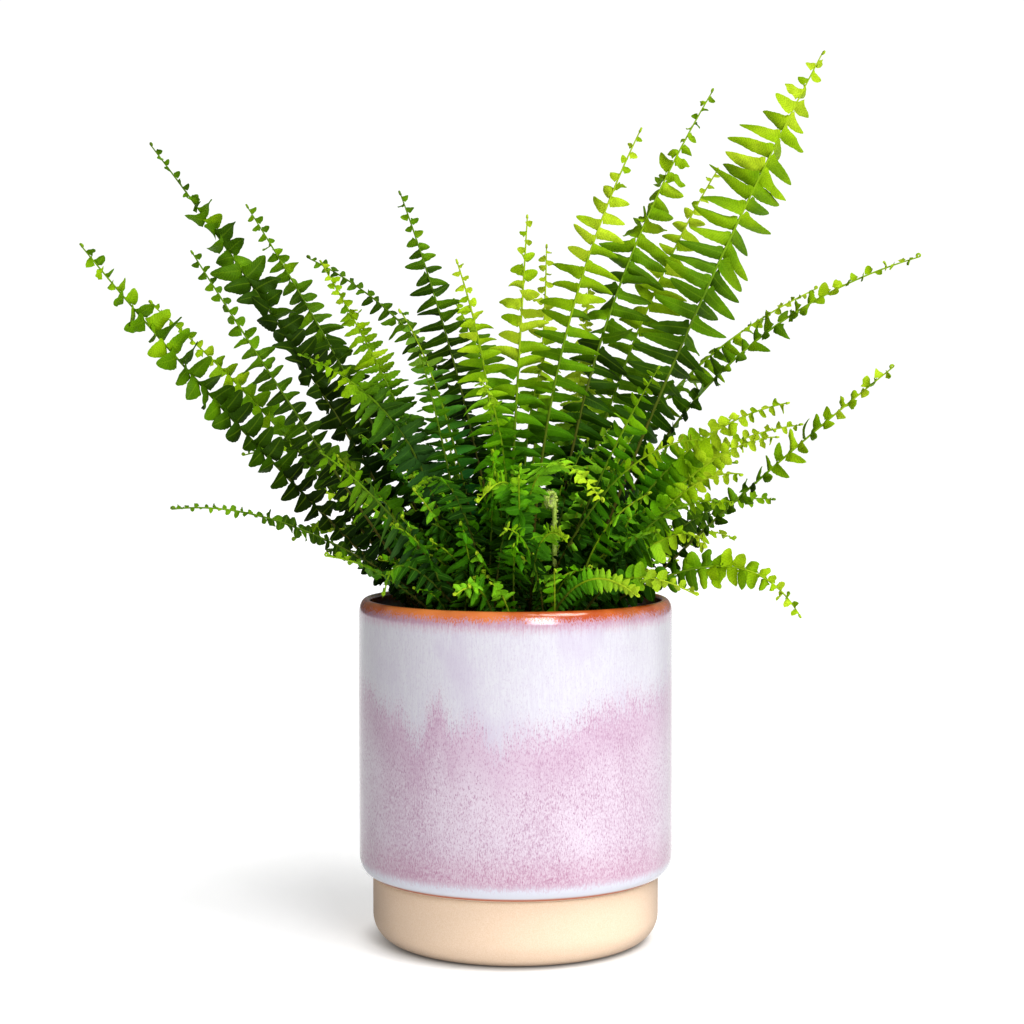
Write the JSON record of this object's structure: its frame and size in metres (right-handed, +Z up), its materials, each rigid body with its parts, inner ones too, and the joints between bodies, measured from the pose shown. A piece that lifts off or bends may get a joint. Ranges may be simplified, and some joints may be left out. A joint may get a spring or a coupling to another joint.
{
  "type": "potted boston fern",
  "caption": "Arching fern with many pinnate fronds, growing from a crown in compost, in a glazed cylinder pot on an unglazed foot.",
  "frame": {"origin": "middle of the pot's underside", "axes": "+Z up, -Y towards the picture's viewer, +X to the viewer's right"},
  "size_m": [0.3603, 0.2153, 0.405],
  "materials": {
    "glazed_pot": "gloss lilac and white glaze with a rust lip, bare cream clay foot",
    "compost": "matte, damp dark crumbly compost",
    "rhizome": "matte brown scaly fibrous crown",
    "young_frond": "matte pale green, covered in fine hairs",
    "leaf": "satin green leaflets, paler at the tips and below"
  },
  "bodies": {
    "root": {"pot": "glazed_pot", "soil": "compost", "crown": "rhizome", "crozier_1": "young_frond", "crozier_2": "young_frond", "frond_right_tall": "leaf", "frond_right_dark": "leaf", "frond_right_arch": "leaf", "frond_centre_pale": "leaf", "frond_left_long": "leaf", "frond_left_high": "leaf", "frond_right_wide": "leaf", "frond_mid_dark": "leaf", "frond_left_inner": "leaf", "frond_left_slim": "leaf", "frond_right_back": "leaf", "frond_right_rise": "leaf", "frond_right_low": "leaf", "frond_mid_light": "leaf", "frond_left_pale": "leaf", "frond_left_curved": "leaf", "frond_left_young": "leaf", "frond_right_droop": "leaf", "frond_right_round": "leaf", "frond_left_bright": "leaf", "frond_centre_slim": "leaf", "frond_left_level": "leaf", "frond_right_small": "leaf", "frond_right_pale": "leaf", "frond_right_slim": "leaf", "frond_right_twin": "leaf", "frond_right_soft": "leaf", "frond_blue_green": "leaf", "frond_young_stem": "leaf", "frond_front_right": "leaf", "frond_front_left": "leaf", "frond_front_curl": "leaf", "frond_front_mid": "leaf", "frond_front_deep": "leaf", "frond_front_olive": "leaf", "frond_rim_front": "leaf", "frond_rim_left": "leaf", "frond_rim_dark": "leaf", "frond_rim_right": "leaf", "frond_left_short": "leaf", "frond_inner_left": "leaf", "frond_inner_mid": "leaf", "frond_inner_right": "leaf", "frond_inner_deep": "leaf", "frond_back_high": "leaf", "frond_back_right": "leaf", "frond_back_left": "leaf", "frond_back_wide": "leaf", "frond_back_far": "leaf", "frond_back_low": "leaf", "frond_back_fall": "leaf", "frond_back_drop": "leaf", "frond_back_side": "leaf", "frond_back_edge": "leaf"}
  },
  "joints": []
}
